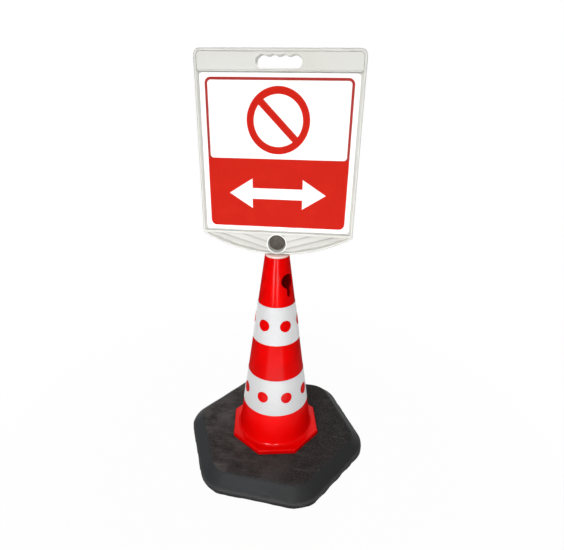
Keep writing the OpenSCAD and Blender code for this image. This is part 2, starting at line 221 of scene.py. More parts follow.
class PrintSettings(bpy.types.PropertyGroup):
    """Sizes of the print on the sheets."""

    side_inset: length("Side inset", "From the sheet's side to the print", 0.0108)
    top_inset: length("Top inset", "From the sheet's top to the print", 0.0081)
    bottom_inset: length("Bottom inset", "From the sheet's bottom to the print", 0.0093)
    line: length("Line", "Width of the border line", 0.0054)
    corner: length("Corner", "Radius of the print's corners", 0.0125)
    panel: length("Panel", "Height of the solid panel", 0.1517)
    ring: length("Ring", "Outer diameter of the ring", 0.134)
    ring_line: length("Ring line", "Width of the ring and of its bar", 0.0150)
    bar_turn: angle("Bar turn", "Slope of the bar across the ring", -45.0)
    arrow: length("Arrow", "Length of the double arrow", 0.216)
    arrow_head: length("Arrow head", "Width of an arrow head", 0.066)
    arrow_reach: length("Arrow reach", "Length of an arrow head", 0.052)
    arrow_shaft: length("Arrow shaft", "Width of the arrow's shaft", 0.024)
    ink: length("Ink", "Height of the print above the sheet", 0.00012)


class FanSettings(bpy.types.PropertyGroup):
    """Where painted shade and the ring's painted highlight show on the board's fan, measured from the middle
    of its bore.
    """

    slope: angle("Slope", "Slope of the rays", 17.0)
    top: length("Top", "Height of the rays' upper ends", 0.022)
    starts: FloatVectorProperty(
        name="Starts", description="How far out each step starts", default=(0.1679, 0.1288, 0.0740), size=3,
        unit="LENGTH", precision=4,
    )
    # The dirt below a step is painted shadow
    fade: length("Fade", "How far dirt reaches below a step", 0.012)
    bore: length("Bore", "Radius of the bore", 0.0215)
    boss: length("Boss", "Radius of the boss", 0.0231)


class FinishSettings(bpy.types.PropertyGroup):
    """Colours of the finishes."""

    rubber: colour("Rubber", "Crumb rubber on top of the block", (0.047, 0.043, 0.042))
    rubber_skin: colour("Rubber skin", "Smooth skin of the block's flank", (0.035, 0.038, 0.040))
    rubber_dust: colour("Rubber dust", "Dust that lies on the block", (0.108, 0.103, 0.099))
    rubber_soot: colour("Rubber soot", "Dark patches on top of the block", (0.014, 0.013, 0.013))
    # The upright edge is painted darker, as shade
    rubber_foot: colour("Rubber foot", "Upright edge of the block", (0.013, 0.014, 0.015))
    # The block's right side is painted darker, as shade
    rubber_clean: colour("Rubber clean", "The block's right side, free of dust", (0.018, 0.017, 0.017))
    cone: colour("Cone", "Plastic of the cone", (0.650, 0.0004, 0.0003))
    # Also paints the cone's foot lighter, as if lit there
    cone_faded: colour("Cone faded", "Sun-bleached patches of the cone", (0.920, 0.0008, 0.0006))
    cone_scuff: colour("Cone scuff", "Scratches on the cone", (0.75, 0.20, 0.17))
    # Painted shade in the cone's corners, with dirt
    cone_dirt: colour("Cone dirt", "Dirt in the cone's corners", (0.12, 0.012, 0.010))
    band: colour("Band", "Reflective film", (0.645, 0.648, 0.660))
    band_cell: colour("Band cell", "Seams between the film's cells", (0.580, 0.583, 0.596))
    band_scuff: colour("Band scuff", "Scratches on the film", (0.62, 0.61, 0.60))
    shell: colour("Shell", "Moulded plastic of the board", (0.630, 0.635, 0.600))
    shell_aged: colour("Shell aged", "Yellowed patches of the board", (0.616, 0.610, 0.566))
    # Painted highlight along the board's edges, with wear
    shell_rubbed: colour("Shell rubbed", "Rubbed edges of the board", (0.93, 0.93, 0.91))
    # Painted highlight on the ring round the bore
    bore_ring: colour("Bore ring", "Worn ring round the board's bore", (0.95, 0.95, 0.94))
    # Pink tint, in part painted light bounced off the red cone
    adaptor: colour("Adaptor", "Moulded plastic of the adaptor", (0.975, 0.690, 0.630))
    # Dark tone for dirt and for painted shade in corners and under the fan's steps
    grime: colour("Grime", "Dirt that settles in corners", (0.200, 0.180, 0.155))
    sheet: colour("Sheet", "White of the printed sheets", (0.970, 0.970, 0.970))
    sheet_thin: colour("Thin white", "Where the white is printed thinner", (0.84, 0.80, 0.79))
    ink: colour("Ink", "Red of the print", (0.582, 0.013, 0.005))
    ink_thin: colour("Thin ink", "Where the red is printed thinner", (0.610, 0.017, 0.007))
    ink_line: colour("Line ink", "Red of the border line", (0.400, 0.036, 0.030))
    plug: colour("Plug", "Plastic of the plug", (0.073, 0.061, 0.052))
    screw: colour("Screw", "Plated steel of the screws", (0.600, 0.595, 0.580))
    screw_dull: colour("Screw dull", "Dull streaks of the screws", (0.45, 0.44, 0.42))


class StageSettings(bpy.types.PropertyGroup):
    """The camera, the lamps and the floor."""

    camera_place: FloatVectorProperty(
        name="Camera place", description="Where the camera stands", default=(0.1033, -0.9029, 0.8849),
        size=3, unit="LENGTH", subtype="TRANSLATION",
    )
    camera_turn: angle("Camera turn", "How far the camera looks to the left", 5.746)
    camera_pitch: angle("Camera pitch", "How far the camera looks down", 22.567)
    camera_roll: angle("Camera roll", "How far the camera leans", 0.977)
    focal_pixels: FloatProperty(
        name="Focal length", description="Focal length, in pixels of the picture", default=400.0, min=1.0,
    )
    picture_width: IntProperty(
        name="Picture width", description="Width of the picture in pixels", default=564,
    )
    floor: share("Floor", "How pale the floor is", 0.70)
    floor_white: share("Floor white", "How white the floor near the sign is to the camera", 0.97)
    world: share("World", "Light from all round", 0.14)
    key: watts("Key", "Power of the main lamp", 124.0)
    fill: watts("Fill", "Power of the lamp on the right", 5.0)
    strip_left: watts("Left strip", "Power of the left strip lamp, which shows only in gloss", 60.0)
    strip_right: watts("Right strip", "Power of the right strip lamp, which shows only in gloss", 44.0)
    card: watts("Card", "Power of each lamp that lies on the floor", 5.2)
    sheen: watts("Sheen", "Power of the lamp at each of these that shows only in gloss", 10.0)
    back: watts("Back", "Power of the lamp straight behind the sign", 78.0)
    back_right: watts("Back right", "Power of the lamp behind the sign on the right", 30.0)


SETTINGS = {
    "cone_sign_block": BlockSettings,
    "cone_sign_print": PrintSettings,
    "cone_sign_fan": FanSettings,
    "cone_sign_finish": FinishSettings,
    "cone_sign_stage": StageSettings,
}


# Shader trees

def feed(tree, socket, value):
    """Links another socket to this one, or sets its value."""
    if isinstance(value, bpy.types.NodeSocket):
        tree.links.new(value, socket)
    elif hasattr(socket.default_value, "__len__") and len(socket.default_value) == 4 and len(value) == 3:
        socket.default_value = (*value, 1.0)
    else:
        socket.default_value = value


def put(tree, kind, inputs=None, **settings):
    """Adds a shader node, with its settings and what feeds it."""
    made = tree.nodes.new(kind)
    for key, value in settings.items():
        setattr(made, key, value)
    for key, value in (inputs or {}).items():
        feed(tree, made.inputs[key], value)
    return made


def calc(tree, operation, a, b=0.0, clamp=False):
    """A sum of two values."""
    made = put(tree, "ShaderNodeMath", {0: a, 1: b}, operation=operation, use_clamp=clamp)
    return made.outputs[0]


def product(tree, first, *others, clamp=False):
    """Several values multiplied."""
    for other in others:
        first = calc(tree, "MULTIPLY", first, other, clamp)
    return first


def highest(tree, first, *others):
    """The highest of several values."""
    for other in others:
        first = calc(tree, "MAXIMUM", first, other)
    return first


def parts_of(tree, vector):
    """The X, Y and Z of a vector."""
    return put(tree, "ShaderNodeSeparateXYZ", {0: vector}).outputs


def remap(tree, value, low, high, to_low=0.0, to_high=1.0):
    """A value between two bounds, eased to two others."""
    made = put(
        tree, "ShaderNodeMapRange",
        {"Value": value, "From Min": low, "From Max": high, "To Min": to_low, "To Max": to_high},
        interpolation_type="SMOOTHSTEP",
    )
    return made.outputs[0]


def blend(tree, mask, a, b):
    """One colour over another, by a mask."""
    made = put(tree, "ShaderNodeMix", data_type="RGBA", clamp_factor=True)
    feed(tree, made.inputs[0], mask)
    feed(tree, made.inputs[6], a)
    feed(tree, made.inputs[7], b)
    return made.outputs[2]


def cloud(tree, vector, size, detail=2.0, rough=0.5):
    """Soft noise with patches of about a given size."""
    scale = calc(tree, "DIVIDE", 1.0, size) if isinstance(size, bpy.types.NodeSocket) else 1.0 / size
    made = put(
        tree, "ShaderNodeTexNoise",
        {"Vector": vector, "Scale": scale, "Detail": detail, "Roughness": rough},
    )
    return made.outputs[0]


def start_group(name, inputs, outputs):
    """A new shader group that goes by a place; gives its tree, its input sockets and its output node's.

    Inputs come with their values, and one without is a vector. Of the outputs only a normal is one.
    """
    tree = bpy.data.node_groups.new(name, "ShaderNodeTree")
    for label, default in {"Place": None, **inputs}.items():
        kind = "NodeSocketVector" if default is None else "NodeSocketFloat"
        socket = tree.interface.new_socket(label, in_out="INPUT", socket_type=kind)
        if default is not None:
            socket.default_value = default
    for label in outputs:
        kind = "NodeSocketVector" if label == "Normal" else "NodeSocketFloat"
        tree.interface.new_socket(label, in_out="OUTPUT", socket_type=kind)
    source = tree.nodes.new("NodeGroupInput")
    target = tree.nodes.new("NodeGroupOutput")
    return tree, source.outputs, target.inputs


def patches_group():
    """Slow patches of tone over a surface, such as fading or thin ink."""
    tree, given, made = start_group("Patches", {"Size": 0.05, "Low": 0.4, "High": 0.65}, ["Mask"])
    spots = cloud(tree, given["Place"], given["Size"], 4.0, 0.55)
    feed(tree, made["Mask"], remap(tree, spots, given["Low"], given["High"]))
    return tree


def moulded_group():
    """The fine pebbled grain of a moulded surface."""
    tree, given, made = start_group("Moulded grain", {"Size": 0.001}, ["Height"])
    fine = cloud(tree, given["Place"], given["Size"], 2.0, 0.5)
    wide = cloud(tree, given["Place"], product(tree, given["Size"], 14.0), 1.0, 0.5)
    feed(tree, made["Height"], calc(tree, "ADD", fine, product(tree, wide, 2.0)))
    return tree


def scuffs_group():
    """Short scratches that run in several directions."""
    tree, given, made = start_group("Scuffs", {"Size": 0.03, "Amount": 0.3}, ["Mask"])
    marks = []
    for turn, stretch in ((0.5, 26.0), (1.9, 34.0), (2.7, 22.0)):
        turned = put(tree, "ShaderNodeMapping", {
            "Vector": given["Place"],
            "Rotation": (turn, turn * 0.7, turn * 1.3),
            "Scale": (1.0, stretch, 1.0),
        })
        lines = cloud(tree, turned.outputs[0], given["Size"], 2.0, 0.6)
        marks.append(remap(tree, lines, 0.70, 0.78))
    where = cloud(tree, given["Place"], product(tree, given["Size"], 3.0), 1.0, 0.5)
    worn = remap(tree, where, calc(tree, "SUBTRACT", 0.8, given["Amount"]), 0.85)
    feed(tree, made["Mask"], product(tree, highest(tree, *marks), worn))
    return tree


def corners_group():
    """Painted shade with dirt in corners and grooves, darker where the surface is occluded, broken up by
    noise.
    """
    tree, given, made = start_group("Corner dirt", {"Reach": 0.01, "Amount": 0.6}, ["Mask"])
    # Occluded spots are painted darker, as shade
    nook = put(tree, "ShaderNodeAmbientOcclusion", {"Distance": given["Reach"]}, samples=8, only_local=True)
    deep = remap(tree, nook.outputs["AO"], 0.95, 0.35)
    patchy = remap(tree, cloud(tree, given["Place"], 0.02, 4.0, 0.6), 0.3, 0.7, 0.45, 1.0)
    feed(tree, made["Mask"], product(tree, deep, patchy, given["Amount"], clamp=True))
    return tree


def edges_group():
    """Rounded edges, and a mask of where they are rubbed and painted bright as a highlight."""
    tree, given, made = start_group("Rubbed edges", {"Radius": 0.0006, "Amount": 0.5}, ["Mask", "Normal"])
    rounded = put(tree, "ShaderNodeBevel", {"Radius": given["Radius"]}, samples=6).outputs[0]
    facing = tree.nodes.new("ShaderNodeNewGeometry").outputs["Normal"]
    apart = put(tree, "ShaderNodeVectorMath", {0: rounded, 1: facing}, operation="DOT_PRODUCT")
    # Where the rounded normal bends away, the edge is painted bright as a highlight
    ridge = remap(tree, apart.outputs["Value"], 0.995, 0.85)
    patchy = remap(tree, cloud(tree, given["Place"], 0.012, 3.0, 0.6), 0.42, 0.62)
    feed(tree, made["Mask"], product(tree, ridge, patchy, given["Amount"], clamp=True))
    feed(tree, made["Normal"], rounded)
    return tree


def fan_group():
    """A fan of rays: where its face is, painted shadow under its inner steps, and a painted highlight on the
    ring round the bore.
    """
    tree, given, made = start_group(
        "Fan marks",
        {"Starts": None, "Slope": 0.3, "Top": 0.02, "Fade": 0.01, "Bore": 0.02, "Boss": 0.03},
        ["Face", "Lines", "Ring"],
    )
    across, _, up = parts_of(tree, given["Place"])
    in_plane = put(tree, "ShaderNodeCombineXYZ", {"X": across, "Z": up}).outputs[0]
    away = put(tree, "ShaderNodeVectorMath", {0: in_plane}, operation="LENGTH").outputs["Value"]
    wide = calc(tree, "ABSOLUTE", across)
    sine = calc(tree, "SINE", given["Slope"])
    cosine = calc(tree, "COSINE", given["Slope"])
    drop = product(tree, calc(tree, "SUBTRACT", given["Top"], up), cosine)
    depths = []
    for start in parts_of(tree, given["Starts"]):
        out = product(tree, calc(tree, "SUBTRACT", wide, start), sine)
        depths.append(calc(tree, "ADD", out, drop))
    feed(tree, made["Face"], remap(tree, depths[0], STEP_BLUR, 0.0))
    # Painted shadows fade out below each inner step
    lines = []
    for depth in depths[1:]:
        near = calc(tree, "SUBTRACT", 1.0, calc(tree, "DIVIDE", depth, given["Fade"]), True)
        past_step = remap(tree, depth, -STEP_BLUR, 0.0)
        lines.append(product(tree, calc(tree, "POWER", near, 3.0), past_step))
    under_bar = calc(tree, "SUBTRACT", given["Top"], given["Fade"])
    thick = remap(tree, up, under_bar, given["Top"], 1.0, 1.4)
    on_fan = remap(tree, up, given["Top"], calc(tree, "SUBTRACT", given["Top"], STEP_BLUR))
    clear = remap(tree, away, given["Boss"], calc(tree, "ADD", given["Boss"], STEP_BLUR))
    feed(tree, made["Lines"], product(tree, highest(tree, *lines), thick, on_fan, clear))
    # A painted highlight round the bore
    past_bore = remap(tree, away, calc(tree, "SUBTRACT", given["Bore"], STEP_BLUR), given["Bore"])
    feed(tree, made["Ring"], calc(tree, "SUBTRACT", past_bore, clear, True))
    return tree


GROUPS = {
    "Patches": patches_group,
    "Moulded grain": moulded_group,
    "Scuffs": scuffs_group,
    "Corner dirt": corners_group,
    "Rubbed edges": edges_group,
    "Fan marks": fan_group,
}


def effect(tree, name, **inputs):
    """Places a shared effect in a material, with its own values, and gives its outputs."""
    group = bpy.data.node_groups.get(name) or GROUPS[name]()
    made = put(tree, "ShaderNodeGroup", node_tree=group)
    for key, value in inputs.items():
        feed(tree, made.inputs[key.capitalize()], value)
    return made.outputs


class Finish:
    """A material under construction: its tree, its shader and the place that textures go by."""

    def __init__(self, name, roughness, **shader):
        self.material = bpy.data.materials.new(name + SUFFIX)
        self.material.use_nodes = True
        self.tree = self.material.node_tree
        self.shader = self.tree.nodes["Principled BSDF"]
        self.shader.inputs["Roughness"].default_value = roughness
        for key, value in shader.items():
            self.shader.inputs[key.replace("_", " ")].default_value = value
        self.place = self.tree.nodes.new("ShaderNodeTexCoord").outputs["Object"]

    def height(self):
        """How high above the ground a spot is when the sign stands."""
        return parts_of(self.tree, self.place)["Z"]

    def effect(self, name, output="Mask", **inputs):
        """One output of a shared effect."""
        return effect(self.tree, name, Place=self.place, **inputs)[output]

    def set(self, socket, value):
        """Feeds a socket of the shader."""
        feed(self.tree, self.shader.inputs[socket], value)

    def vary(self, socket, mask, low, high):
        """Lets a socket of the shader run from low to high as a mask runs from nought to one."""
        self.set(socket, remap(self.tree, mask, 0.0, 1.0, low, high))

    def bump(self, height, depth, normal=None):
        """Raises the surface by a height between nought and one, times a depth in metres."""
        inputs = {"Height": height, "Distance": depth, "Strength": 1.0}
        if normal is not None:
            inputs["Normal"] = normal
        self.set("Normal", put(self.tree, "ShaderNodeBump", inputs).outputs[0])

    def grain(self, size, depth, radius=None):
        """Gives the surface a moulded grain, and rounds its edges if there is a radius."""
        normal = None if radius is None else self.effect("Rubbed edges", "Normal", radius=radius)
        self.bump(self.effect("Moulded grain", "Height", size=size), depth, normal)


def finish_once(maker):
    """The material that a maker builds, built only once."""
    return bpy.data.materials.get(maker.__name__ + SUFFIX) or maker(bpy.context.scene.cone_sign_finish)


def crumb_rubber(paint):
    """Black crumb rubber: a coarse top, dustier and painted lighter on its left, painted darker as shade on
    its right and on its foot, a smooth skin down the flank, chafed edges.
    """
    made = Finish("crumb_rubber", 0.8, Specular_IOR_Level=0.06, Coat_Roughness=0.45)
    tree, place = made.tree, made.place
    level = parts_of(tree, tree.nodes.new("ShaderNodeNewGeometry").outputs["Normal"])["Z"]
    across, _, height = parts_of(tree, place)
    # Light from the left is painted in: the block grows lighter and dustier leftward and darker rightward
    lit_from_left = remap(tree, across, LIGHT_AND_DUST_REACH, -LIGHT_AND_DUST_REACH)
    ragged = cloud(tree, place, 0.022, 4.0, 0.6)
    upward = remap(tree, calc(tree, "ADD", level, product(tree, ragged, 0.30)), 0.96, 1.14)
    crumbs = put(tree, "ShaderNodeTexVoronoi", {"Vector": place, "Scale": 380.0, "Randomness": 1.0})
    tone = put(tree, "ShaderNodeSeparateColor", {0: crumbs.outputs["Color"]}).outputs[0]
    grains = product(tree, remap(tree, tone, 0.5, 1.0, 0.0, 0.35), upward)
    mottled = made.effect("Patches", size=0.055, low=0.42, high=0.64)
    sooty = made.effect("Patches", size=0.034, low=0.50, high=0.68)
    streaked = put(tree, "ShaderNodeMapping", {"Vector": place, "Scale": (0.4, 1.6, 1.0)}).outputs[0]
    brushed = remap(tree, cloud(tree, streaked, 0.016, 5.0, 0.65), 0.48, 0.72)
    smeared = made.effect("Scuffs", size=0.060, amount=0.50)
    rubbed = product(tree, remap(tree, cloud(tree, streaked, 0.045, 5.0, 0.7), 0.56, 0.66), upward)
    # Dust lies thicker to the left, which also paints that side lighter as if lit
    dust_and_light_share = remap(tree, lit_from_left, 0.0, 1.0, 0.04, 0.66)
    dusty = product(tree, calc(tree, "ADD", mottled, brushed), dust_and_light_share, upward)
    ridge = product(tree, upward, calc(tree, "SUBTRACT", 1.0, upward))
    over_foot = remap(tree, height, EDGE_HEIGHT - EDGE_BELOW, EDGE_HEIGHT)
    under_flank = remap(tree, height, EDGE_HEIGHT + EDGE_ABOVE, EDGE_HEIGHT)
    chafed = product(tree, calc(tree, "ADD", ridge, product(tree, over_foot, under_flank)), ragged)
    worn = highest(
        tree, dusty, product(tree, smeared, 0.60), product(tree, rubbed, 0.42),
        product(tree, remap(tree, chafed, 0.08, 0.55), 0.5),
    )
    bare = blend(tree, upward, paint.rubber_skin, paint.rubber)
    sooted = blend(tree, product(tree, sooty, upward, 0.55), bare, paint.rubber_soot)
    # The foot is painted darker, as shade
    low = remap(tree, height, EDGE_HEIGHT, EDGE_HEIGHT - FOOT_SHADE, 0.0, 0.6)
    foot_shaded = blend(tree, low, sooted, paint.rubber_foot)
    # The right side is painted darker, as shade
    shaded = blend(tree, remap(tree, lit_from_left, 0.0, 0.7, 0.60, 0.0), foot_shaded, paint.rubber_clean)
    dark = blend(tree, grains, shaded, paint.rubber_dust)
    made.set("Base Color", blend(tree, worn, dark, paint.rubber_dust))
    made.vary("Roughness", calc(tree, "ADD", worn, upward), 0.55, 0.92)
    made.vary("Coat Weight", upward, 0.045, 0.0)
    rough = calc(tree, "ADD", crumbs.outputs["Distance"], cloud(tree, place, 0.0011, 3.0, 0.6))
    made.bump(product(tree, rough, remap(tree, upward, 0.0, 1.0, 0.25, 1.0)), 0.0010)
    return made.material


def cone_plastic(paint):
    """Red moulded plastic: a soft gloss, a foot painted lighter as if lit, faded patches, faint scuffs, and
    painted shade with dirt in the corners.
    """
    made = Finish("cone_plastic", 0.38, Specular_IOR_Level=0.0, Coat_Roughness=0.20)
    tree, height = made.tree, made.height()
    patchy = made.effect("Patches", size=0.09, low=0.35, high=0.9)
    # The cone is painted lighter towards its foot, as if lit there, and in faded patches
    faded_and_lit = highest(tree, remap(tree, height, *CONE_LIT_FOOT), patchy)
    scuffed = made.effect("Scuffs", size=0.035, amount=0.30)
    # Painted shade and dirt in the cone's corners
    dirt_and_shade = made.effect("Corner dirt", reach=0.008, amount=0.18)
    red = blend(tree, faded_and_lit, paint.cone, paint.cone_faded)
    rubbed = blend(tree, product(tree, scuffed, 0.35), red, paint.cone_scuff)
    made.set("Base Color", blend(tree, dirt_and_shade, rubbed, paint.cone_dirt))
    made.set("Roughness", remap(tree, calc(tree, "ADD", faded_and_lit, scuffed), 0.0, 1.5, 0.30, 0.55))
    made.set("Coat Weight", remap(tree, height, *CONE_DULLS, 0.14, 0.055))
    made.grain(0.0009, 0.00005, 0.0009)
    return made.material


def band_film(paint):
    """White reflective film with a fine net of sealed cells, which stays bright when seen from the side."""
    made = Finish(
        "band_film", 0.42, Specular_IOR_Level=0.08, Coat_Roughness=0.2,
        Sheen_Weight=1.0, Sheen_Roughness=0.6,
    )
    tree = made.tree
    cells = put(
        tree, "ShaderNodeTexVoronoi", {"Vector": made.place, "Scale": 330.0, "Randomness": 0.12},
        feature="DISTANCE_TO_EDGE",
    )
    seam = remap(tree, cells.outputs["Distance"], 0.09, 0.03)
    worn = made.effect("Patches", size=0.06, low=0.4, high=0.75)
    scuffed = made.effect("Scuffs", size=0.03, amount=0.18)
    white = blend(tree, product(tree, seam, 0.45), paint.band, paint.band_cell)
    made.set("Base Color", blend(tree, product(tree, scuffed, 0.2), white, paint.band_scuff))
    made.vary("Roughness", worn, 0.40, 0.46)
    made.vary("Coat Weight", worn, 0.040, 0.025)
    made.bump(seam, 0.00003, made.effect("Rubbed edges", "Normal", radius=0.0003))
    return made.material


def board_plastic(name, paint, tint, aged, **shader):
    """Pale moulded plastic: a pebbled skin, yellowed patches, grey dirt with painted shade in its grooves,
    and edges painted bright as a highlight.
    """
    made = Finish(name, 0.5, Specular_IOR_Level=0.28, **shader)
    tree, height = made.tree, made.height()
    old = made.effect("Patches", size=0.11, low=0.38, high=0.72)
    # Painted shade and dirt in the board's corners, set in above the fan and thicker near the top
    thin = remap(tree, height, *CORNER_SHADE_STARTS, 0.0, 0.70)
    corner_shade_amount = calc(tree, "ADD", thin, remap(tree, height, *CORNER_SHADE_THICKENS, 0.0, 0.30))
    dirt_and_shade = made.effect("Corner dirt", reach=0.005, amount=corner_shade_amount)
    scuffed = made.effect("Scuffs", size=0.03, amount=0.28)
    # Rubbed edges are also painted bright as a highlight
    rubbed = made.effect("Rubbed edges", radius=0.0012, amount=0.75)
    pale = blend(tree, old, tint, aged)
    marked = blend(tree, product(tree, scuffed, 0.3), pale, paint.grime)
    bright = blend(tree, rubbed, marked, paint.shell_rubbed)
    made.set("Base Color", blend(tree, dirt_and_shade, bright, paint.grime))
    made.vary("Roughness", old, 0.42, 0.58)
    made.grain(0.0012, 0.00007, 0.0008)
    return made


def shell_plastic(paint):
    """Plastic of the board's shells, painted darker over the fan as shade, with painted shadow under its
    rays and a painted highlight round the bore.
    """
    made = board_plastic("shell_plastic", paint, paint.shell, paint.shell_aged)
    tree, fan = made.tree, bpy.context.scene.cone_sign_fan
    spot = put(tree, "ShaderNodeVectorMath", {0: made.place, 1: PLUG_MIDDLE}, operation="SUBTRACT")
    sizes = {key: getattr(fan, key) for key in FanSettings.__annotations__}
    marks = effect(tree, "Fan marks", Place=spot.outputs[0], **sizes)
    # The fan's face is painted darker below the sheet, as shade
    starts, whole = SHEET_LOW.z - FAN_SHADE_STARTS, SHEET_LOW.z - FAN_SHADE_WHOLE
    film = product(tree, remap(tree, made.height(), starts, whole, 0.0, 0.13), marks["Face"])
    # Painted shadows under the fan's inner steps are added to it
    grime_and_shadow = calc(tree, "ADD", film, product(tree, marks["Lines"], 0.60))
    plain = made.shader.inputs["Base Color"].links[0].from_socket
    step_shaded = blend(tree, grime_and_shadow, plain, paint.grime)
    # The ring round the bore is painted bright as a highlight
    made.set("Base Color", blend(tree, marks["Ring"], step_shaded, paint.bore_ring))
    return made.material


def adaptor_plastic(paint):
    """Plastic of the adaptor in the cone's mouth, tinted pink in part as painted light bounced off the red
    cone.
    """
    made = board_plastic(
        "adaptor_plastic", paint, paint.adaptor, paint.adaptor,
        Subsurface_Weight=0.4, Subsurface_Radius=(1.0, 0.9, 0.85), Subsurface_Scale=0.005,
    )
    return made.material


def sheet_film(paint):
    """White vinyl with a smooth skin that ripples a little, and painted shade with dirt in its corners."""
    made = Finish("sheet_film", 0.5, Specular_IOR_Level=0.13)
    # Painted shade and dirt in the sheet's corners
    dirt_and_shade = made.effect("Corner dirt", reach=0.004, amount=0.10)
    made.set("Base Color", blend(made.tree, dirt_and_shade, paint.sheet, paint.grime))
    made.vary("Roughness", made.effect("Patches", size=0.14, low=0.35, high=0.75), 0.50, 0.62)
    made.grain(0.004, 0.00003)
    return made.material


def print_ink(name, gloss):
    """A print finish with slightly uneven cover, and the mask of where it is thin."""
    made = Finish(name, 0.55, Specular_IOR_Level=gloss)
    thin = made.effect("Patches", size=0.05, low=0.4, high=0.75)
    made.vary("Roughness", thin, 0.50, 0.62)
    return made, thin


def red_print(name, paint):
    """A red print finish, and its colour."""
    made, thin = print_ink(name, 0.015)
    made.grain(0.002, 0.00002)
    return made, blend(made.tree, thin, paint.ink, paint.ink_thin)


def red_ink(paint):
    """Red print."""
    made, red = red_print("red_ink", paint)
    made.set("Base Color", red)
    return made.material


def frame_ink(paint):
    """Red print whose border line above the panel is a duller red."""
    made, red = red_print("frame_ink", paint)
    size = bpy.context.scene.cone_sign_print
    field = SHEET_LOW.z + size.bottom_inset + size.panel
    line = remap(made.tree, made.height(), field - LINE_BLUR, field + LINE_BLUR)
    made.set("Base Color", blend(made.tree, line, red, paint.ink_line))
    return made.material


def white_ink(paint):
    """White print over the red."""
    made, thin = print_ink("white_ink", 0.13)
    made.set("Base Color", blend(made.tree, product(made.tree, thin, 0.25), paint.sheet, paint.sheet_thin))
    return made.material


def plug_plastic(paint):
    """Dark grey moulded plastic with patches of dust."""
    made = Finish("plug_plastic", 0.55, Specular_IOR_Level=0.06)
    dusty = made.effect("Patches", size=0.012, low=0.4, high=0.7)
    made.set("Base Color", blend(made.tree, product(made.tree, dusty, 0.35), paint.plug, paint.grime))
    made.vary("Roughness", dusty, 0.48, 0.66)
    made.grain(0.0009, 0.00005)
    return made.material


def screw_steel(paint):
    """Zinc plated steel, finely streaked."""
    made = Finish("screw_steel", 0.35, Metallic=1.0)
    tree = made.tree
    streaks = put(tree, "ShaderNodeMapping", {"Vector": made.place, "Scale": (1.0, 12.0, 1.0)}).outputs[0]
    dull = cloud(tree, streaks, 0.0012, 3.0, 0.6)
    made.set("Base Color", blend(tree, dull, paint.screw, paint.screw_dull))
    made.set("Roughness", remap(tree, dull, 0.3, 0.7, 0.28, 0.48))
    made.bump(dull, 0.00002)
    return made.material


class Painter:
    """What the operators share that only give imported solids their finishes."""

    finishes = {}

    def execute(self, context):
        for node, maker in self.finishes.items():
            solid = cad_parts[node]
            solid.data.materials.clear()
            solid.data.materials.append(finish_once(maker))
        return {"FINISHED"}


# Shapes

def new_piece(name, mesh, body, material):
    """Adds a mesh as a piece that rides a body, with the finish it is given."""
    mesh.materials.append(material)
    piece = bpy.data.objects.new(name, mesh)
    bpy.context.scene.collection.objects.link(piece)
    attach(piece, body)
    return piece


def arc(centre, radius, start, end, steps):
    """Points along an arc, both ends included."""
    turns = [start + (end - start) * i / steps for i in range(steps + 1)]
    return [(centre[0] + radius * math.cos(t), centre[1] + radius * math.sin(t)) for t in turns]


def rounded_path(points, radii, steps=6):
    """An open path of straight runs, with its inner corners rounded."""
    path = [Vector(points[0])]
    for before, corner, after, radius in zip(points, points[1:], points[2:], radii):
        corner = Vector(corner)
        back = (Vector(before) - corner).normalized()
        ahead = (Vector(after) - corner).normalized()
        half = back.angle(ahead) / 2
        middle = corner + (back + ahead).normalized() * radius / math.sin(half)
        start = corner + back * radius / math.tan(half) - middle
        end = corner + ahead * radius / math.tan(half) - middle
        sweep = start.angle(end)
        for i in range(steps + 1):
            share_of_turn = i / steps
            a = math.sin((1 - share_of_turn) * sweep) / math.sin(sweep)
            b = math.sin(share_of_turn * sweep) / math.sin(sweep)
            path.append(middle + start * a + end * b)
    path.append(Vector(points[-1]))
    return path


def spaced(path, step):
    """The path with extra points, so that no two are further apart than a step."""
    out = [path[0]]
    for a, b in zip(path, path[1:]):
        runs = max(1, math.ceil((b - a).length / step))
        out += [a.lerp(b, i / runs) for i in range(1, runs + 1)]
    return out


def hexagon_ring(size, inset):
    """Outline of the rounded hexagon, drawn in by an inset, as points on the ground plane."""
    half = math.pi / 6
    reach = (size.flats / 2 - size.corner) / math.cos(half)
    bends = []
    for side in range(6):
        turn = size.turn - math.pi / 2 + side * 2 * half
        centre = (reach * math.cos(turn), reach * math.sin(turn))
        bend = arc(centre, size.corner - inset, turn - half, turn + half, size.arc_steps)
        bends.append([Vector(p) for p in bend])
    ring = []
    for bend, following in zip(bends, bends[1:] + bends[:1]):
        ring += bend
        ring += [bend[-1].lerp(following[0], i / size.side_steps) for i in range(1, size.side_steps)]
    return ring


def block_rings(size):
    """Rings of the rubber block, from its underside over the flank and the top to the hub."""
    top = CONE_LOW.z
    inner = size.corner * TOP_SHARE
    section = rounded_path(
        [(inner, 0.0), (0.0, 0.0), (0.0, size.edge), (size.flank, top), (inner, top)],
        [size.foot_round, size.edge_round, size.top_round],
    )
    rings = []
    for inset, height in spaced(section, size.step):
        rings.append([(p.x, p.y, height) for p in hexagon_ring(size, inset)])
    outer = hexagon_ring(size, inner)
    hub = rounded_path(
        [(size.hub_foot, top), (size.hub_top, top + size.hub_height), (size.step, top + size.hub_height)],
        [size.hub_round],
    )
    spokes = [p.normalized() for p in outer]
    inner_edge = [spoke * size.hub_foot for spoke in spokes]
    gap = max((p - q).length for p, q in zip(outer, inner_edge))
    runs = math.ceil(gap / size.step)
    for i in range(1, runs):
        rings.append([(*p.lerp(q, i / runs), top) for p, q in zip(outer, inner_edge)])
    for radius, height in spaced(hub, size.step):
        rings.append([(*(spoke * radius), height) for spoke in spokes])
    return rings


